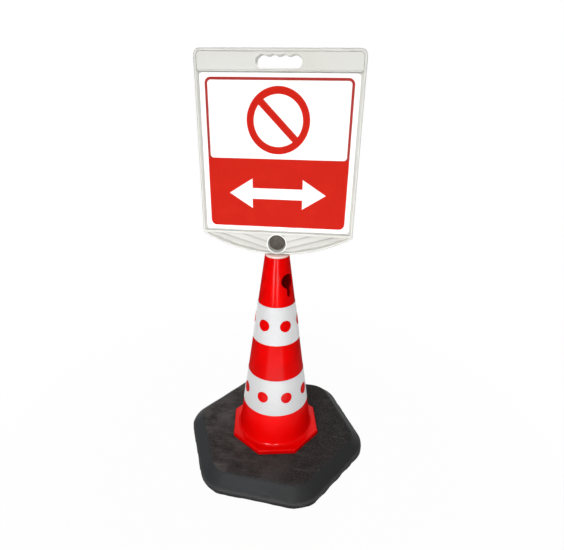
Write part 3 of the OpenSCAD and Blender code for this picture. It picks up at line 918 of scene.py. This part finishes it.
def skin(rings):
    """A closed mesh through a stack of rings."""
    shape = bmesh.new()
    loops = [[shape.verts.new(p) for p in ring] for ring in rings]
    count = len(loops[0])
    for lower, upper in zip(loops, loops[1:]):
        for i in range(count):
            j = (i + 1) % count
            shape.faces.new((lower[i], lower[j], upper[j], upper[i]))
    shape.faces.new(list(reversed(loops[0])))
    shape.faces.new(loops[-1])
    bmesh.ops.recalc_face_normals(shape, faces=shape.faces)
    for face in shape.faces:
        face.smooth = True
    return shape


def roughen(shape, size):
    """Sinks the skin between its crumbs, into shallow hollows and into nicks along the edges."""
    top = CONE_LOW.z
    shape.normal_update()
    moves = []
    for point in shape.verts:
        place = point.co
        crumbs = 0.5 + 0.5 * noise.noise(place / size.crumb)
        hollow = max(0.0, noise.noise(place / (size.crumb * HOLLOW_CRUMBS) + HOLLOW_SHIFT))
        rim = max(0.0, 1.0 - abs(place.z - size.edge) / size.edge) if place.z < 2 * size.edge else 0.0
        near_top = max(0.0, 1.0 - abs(place.z - top) / size.edge_round)
        on_top_edge = near_top * (1.0 - abs(point.normal.z)) * TOP_NICKS
        nick = max(0.0, noise.noise(place / (size.crumb * NICK_CRUMBS) + NICK_SHIFT) - NICK_LEVEL)
        depth = crumbs * size.crumb_depth + hollow * size.hollow_depth
        depth += nick * min(1.0, rim + on_top_edge) * size.nick_depth
        dent = max(0.0, noise.noise(Vector((place.x, place.y, DENT_LEVEL)) / size.wave))
        depth += dent * max(0.0, 1.0 - place.z / size.edge) * size.wave_depth
        inward = point.normal * -depth
        inward.z *= min(1.0, place.z / size.foot_round)
        moves.append(inward)
    for point, move in zip(shape.verts, moves):
        point.co += move


class CONESIGN_OT_block(bpy.types.Operator):
    """Builds the rubber block with its crumbly skin"""

    bl_idname = "conesign.block"
    bl_label = "Rubber Block"

    def execute(self, context):
        size = context.scene.cone_sign_block
        shape = skin(block_rings(size))
        roughen(shape, size)
        mesh = bpy.data.meshes.new("rubber_block")
        shape.to_mesh(mesh)
        shape.free()
        block = new_piece("rubber_block", mesh, "base", finish_once(crumb_rubber))
        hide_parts("rubber_base")
        return {"FINISHED"}


class CONESIGN_OT_cone(Painter, bpy.types.Operator):
    """Finishes the cone"""

    bl_idname = "conesign.cone"
    bl_label = "Cone"
    finishes = {"cone_body": cone_plastic}


class CONESIGN_OT_bands(Painter, bpy.types.Operator):
    """Finishes the two reflective bands"""

    bl_idname = "conesign.bands"
    bl_label = "Reflective Bands"
    finishes = {"lower_band": band_film, "upper_band": band_film}


class CONESIGN_OT_board(Painter, bpy.types.Operator):
    """Finishes the board's shells, sheets, plug and screws, and the adaptor"""

    bl_idname = "conesign.board"
    bl_label = "Board"
    finishes = {
        "front_shell": shell_plastic,
        "rear_shell": shell_plastic,
        "front_sheet": sheet_film,
        "rear_sheet": sheet_film,
        "neck_adaptor": adaptor_plastic,
        "bore_plug": plug_plastic,
        "shell_screws": screw_steel,
    }


def rounded_box(left, right, bottom, top, radius):
    """Outline of a rectangle with round corners."""
    out = []
    for x, y, turn in (
        (right - radius, top - radius, 0.0), (left + radius, top - radius, 0.5),
        (left + radius, bottom + radius, 1.0), (right - radius, bottom + radius, 1.5),
    ):
        out += arc((x, y), radius, turn * math.pi, (turn + 0.5) * math.pi, ARC_STEPS)
    return out


def print_outlines(size):
    """Loops of the frame, of the ring with its bar and of the double arrow, in the sheet's plane."""
    left, right = SHEET_LOW.x + size.side_inset, SHEET_HIGH.x - size.side_inset
    bottom, top = SHEET_LOW.z + size.bottom_inset, SHEET_HIGH.z - size.top_inset
    field = bottom + size.panel
    frame_loops = [
        rounded_box(left, right, bottom, top, size.corner),
        rounded_box(left + size.line, right - size.line, field, top - size.line, size.corner - size.line),
    ]
    middle = (0.0, (field + top - size.line) / 2)
    reach = size.ring / 2
    inner = reach - size.ring_line
    lean = math.asin(size.ring_line / 2 / inner)
    rounds = ARC_STEPS * 6
    ring_loops = [arc(middle, reach, 0.0, 2 * math.pi * (1 - 1 / rounds), rounds - 1)]
    for half in (0.0, math.pi):
        start = size.bar_turn + half + lean
        ring_loops.append(arc(middle, inner, start, start + math.pi - 2 * lean, rounds // 2))
    centre = (bottom + field) / 2
    neck = size.arrow / 2 - size.arrow_reach
    half_arrow = [
        (neck, size.arrow_shaft / 2), (neck, size.arrow_head / 2), (size.arrow / 2, 0.0),
        (neck, -size.arrow_head / 2), (neck, -size.arrow_shaft / 2),
    ]
    arrow_loop = [(x, centre + y) for x, y in half_arrow] + [(-x, centre - y) for x, y in half_arrow]
    return {
        "frame": (frame_loops, frame_ink, 1.0),
        "ring": (ring_loops, red_ink, 1.0),
        "arrow": ([arrow_loop], white_ink, 2.0),
    }


def print_mesh(name, loops, height, ink):
    """A thin plate with holes, lying on the plane of the sheet's face and reaching a height above it."""
    sketch = bpy.data.curves.new(name, "CURVE")
    sketch.dimensions = "2D"
    sketch.fill_mode = "BOTH"
    sketch.extrude = (height + ink) / 2
    for loop in loops:
        line = sketch.splines.new("POLY")
        line.points.add(len(loop) - 1)
        for point, (x, y) in zip(line.points, loop):
            point.co = (x, y, 0.0, 1.0)
        line.use_cyclic_u = True
    holder = bpy.data.objects.new(name + "_sketch", sketch)
    bpy.context.scene.collection.objects.link(holder)
    mesh = bpy.data.meshes.new_from_object(holder.evaluated_get(bpy.context.evaluated_depsgraph_get()))
    bpy.data.objects.remove(holder)
    bpy.data.curves.remove(sketch)
    shape = bmesh.new()
    shape.from_mesh(mesh)
    bmesh.ops.remove_doubles(shape, verts=shape.verts, dist=ink / 20)
    bmesh.ops.translate(shape, verts=shape.verts, vec=(0.0, 0.0, (height - ink) / 2))
    shape.to_mesh(mesh)
    shape.free()
    mesh.name = name
    return mesh


class CONESIGN_OT_print(bpy.types.Operator):
    """Lays the print on both sheets"""

    bl_idname = "conesign.print"
    bl_label = "Sheet Print"

    def execute(self, context):
        size = context.scene.cone_sign_print
        upright = Matrix.Translation((0.0, SHEET_LOW.y, 0.0)) @ Matrix.Rotation(math.pi / 2, 4, "X")
        for side, turn in (("front", 0.0), ("rear", math.pi)):
            place = Matrix.Rotation(turn, 4, "Z") @ upright
            for part, (loops, ink, layers) in print_outlines(size).items():
                name = f"{side}_print_{part}"
                mesh = print_mesh(name, loops, size.ink * layers, size.ink)
                mesh.transform(place)
                new_piece(name, mesh, "board", finish_once(ink))
        return {"FINISHED"}


# Stage

def add_lamp(name, place, aim, size, power, tint=(1.0, 1.0, 1.0)):
    """A soft lamp of a given width and height that points at a place."""
    lamp = bpy.data.lights.new(name, "AREA")
    lamp.shape = "RECTANGLE"
    lamp.size, lamp.size_y = size
    lamp.energy = power
    lamp.color = tint
    holder = bpy.data.objects.new(name, lamp)
    holder.location = place
    holder.rotation_euler = (Vector(aim) - Vector(place)).to_track_quat("-Z", "Y").to_euler()
    holder.visible_camera = False
    bpy.context.scene.collection.objects.link(holder)
    return holder


def lay_card(name, turn, power):
    """A lamp that lies on the floor in front of the sign and points up, turned about the cone's axis."""
    away = Vector((math.sin(turn), -math.cos(turn), 0.0))
    place = away * (CARD_NEAR + CARD_FAR) / 2 + UPWARD * CARD_LIFT
    card = add_lamp(name, place, place + UPWARD, (CARD_WIDTH, CARD_FAR - CARD_NEAR), power)
    card.rotation_euler = (math.pi, 0.0, turn)
    return card


def seen_rays(tree):
    """One for rays from the camera, off gloss and through glass, nought for light on the object."""
    path = tree.nodes.new("ShaderNodeLightPath").outputs
    return highest(tree, path["Is Glossy Ray"], path["Is Transmission Ray"], path["Is Camera Ray"])


def white_world(strength):
    """Even light from all round, behind which the camera sees white."""
    world = bpy.data.worlds.new("studio")
    world.use_nodes = True
    tree = world.node_tree
    light = tree.nodes["Background"]
    light.inputs["Color"].default_value = (1.0, 1.0, 1.0, 1.0)
    feed(tree, light.inputs["Strength"], remap(tree, seen_rays(tree), 0.0, 1.0, strength, 1.0))
    bpy.context.scene.world = world


def floor_material(pale, near_white):
    """A pale floor that keeps the sign's shadow and fades to white away from it."""
    material = bpy.data.materials.new("floor")
    material.use_nodes = True
    tree = material.node_tree
    shader = tree.nodes["Principled BSDF"]
    shader.inputs["Base Color"].default_value = (pale, pale, pale, 1.0)
    shader.inputs["Roughness"].default_value = 0.9
    shader.inputs["Specular IOR Level"].default_value = 0.1
    place = tree.nodes.new("ShaderNodeTexCoord").outputs["Object"]
    away = put(tree, "ShaderNodeVectorMath", {0: place}, operation="LENGTH").outputs["Value"]
    far = product(tree, remap(tree, away, *FLOOR_FADES, near_white, 1.0), seen_rays(tree))
    white = put(tree, "ShaderNodeEmission", {"Color": (1.0, 1.0, 1.0), "Strength": 1.0})
    mixed = put(tree, "ShaderNodeMixShader", {0: far, 1: shader.outputs[0], 2: white.outputs[0]})
    tree.links.new(mixed.outputs[0], tree.nodes["Material Output"].inputs["Surface"])
    return material


def add_camera(stage):
    """The camera at the picture's own place, angle and lens."""
    lens = bpy.data.cameras.new("camera")
    lens.sensor_width = FILM_WIDTH
    lens.lens = FILM_WIDTH * stage.focal_pixels / stage.picture_width
    level = Vector((-math.sin(stage.camera_turn), math.cos(stage.camera_turn), 0.0))
    ahead = level * math.cos(stage.camera_pitch) - UPWARD * math.sin(stage.camera_pitch)
    right = level.cross(UPWARD)
    up = right.cross(ahead)
    lean = stage.camera_roll
    side = right * math.cos(lean) + up * math.sin(lean)
    head = up * math.cos(lean) - right * math.sin(lean)
    holder = bpy.data.objects.new("camera", lens)
    turned = Matrix((side, head, -ahead)).transposed().to_4x4()
    holder.matrix_world = Matrix.Translation(stage.camera_place) @ turned
    bpy.context.scene.collection.objects.link(holder)
    bpy.context.scene.camera = holder


class CONESIGN_OT_stage(bpy.types.Operator):
    """Sets up the floor, the lamps and the camera"""

    bl_idname = "conesign.stage"
    bl_label = "Stage"

    def execute(self, context):
        stage = context.scene.cone_sign_stage
        bpy.ops.mesh.primitive_plane_add(size=FLOOR_SIZE)
        floor = context.object
        floor.name = "floor"
        floor.data.materials.append(floor_material(stage.floor, stage.floor_white))
        middle = (0.0, 0.0, (CAD_BOX[0].z + CAD_BOX[1].z) / 2)
        for name, place, size, tint in LAMPS:
            add_lamp(name, place, middle, size, getattr(stage, name), tint)
        for name, place in STRIPS.items():
            add_lamp(name, place, STRIP_AIM, STRIP_SIZE, getattr(stage, name)).visible_diffuse = False
        for name, degrees in CARDS.items():
            turn = math.radians(degrees)
            lay_card(name, turn, stage.card)
            lay_card(name + "_sheen", turn, stage.sheen).visible_diffuse = False
        white_world(stage.world)
        add_camera(stage)
        context.scene.view_settings.view_transform = "Standard"
        return {"FINISHED"}


OPERATORS = (
    CONESIGN_OT_block, CONESIGN_OT_cone, CONESIGN_OT_bands,
    CONESIGN_OT_board, CONESIGN_OT_print, CONESIGN_OT_stage,
)


class CONESIGN_PT_sidebar(bpy.types.Panel):
    """Lists what builds the sign, and its settings"""

    bl_idname = "CONESIGN_PT_sidebar"
    bl_label = "Cone Sign"
    bl_space_type = "VIEW_3D"
    bl_region_type = "UI"
    bl_category = "Cone Sign"

    def draw(self, context):
        for operator in OPERATORS:
            self.layout.operator(operator.bl_idname)
        for name, settings in SETTINGS.items():
            box = self.layout.box()
            for key in settings.__annotations__:
                box.prop(getattr(context.scene, name), key)


def register():
    for settings in SETTINGS.values():
        bpy.utils.register_class(settings)
    for operator in OPERATORS:
        bpy.utils.register_class(operator)
    bpy.utils.register_class(CONESIGN_PT_sidebar)
    for name, settings in SETTINGS.items():
        setattr(bpy.types.Scene, name, PointerProperty(type=settings))


def unregister():
    for name in SETTINGS:
        delattr(bpy.types.Scene, name)
    bpy.utils.unregister_class(CONESIGN_PT_sidebar)
    for made in (*reversed(OPERATORS), *reversed(list(SETTINGS.values()))):
        bpy.utils.unregister_class(made)


def main():
    register()
    bpy.ops.conesign.block()
    bpy.ops.conesign.cone()
    bpy.ops.conesign.bands()
    bpy.ops.conesign.board()
    bpy.ops.conesign.print()
    bpy.ops.conesign.stage()


if __name__ == "__main__":
    main()
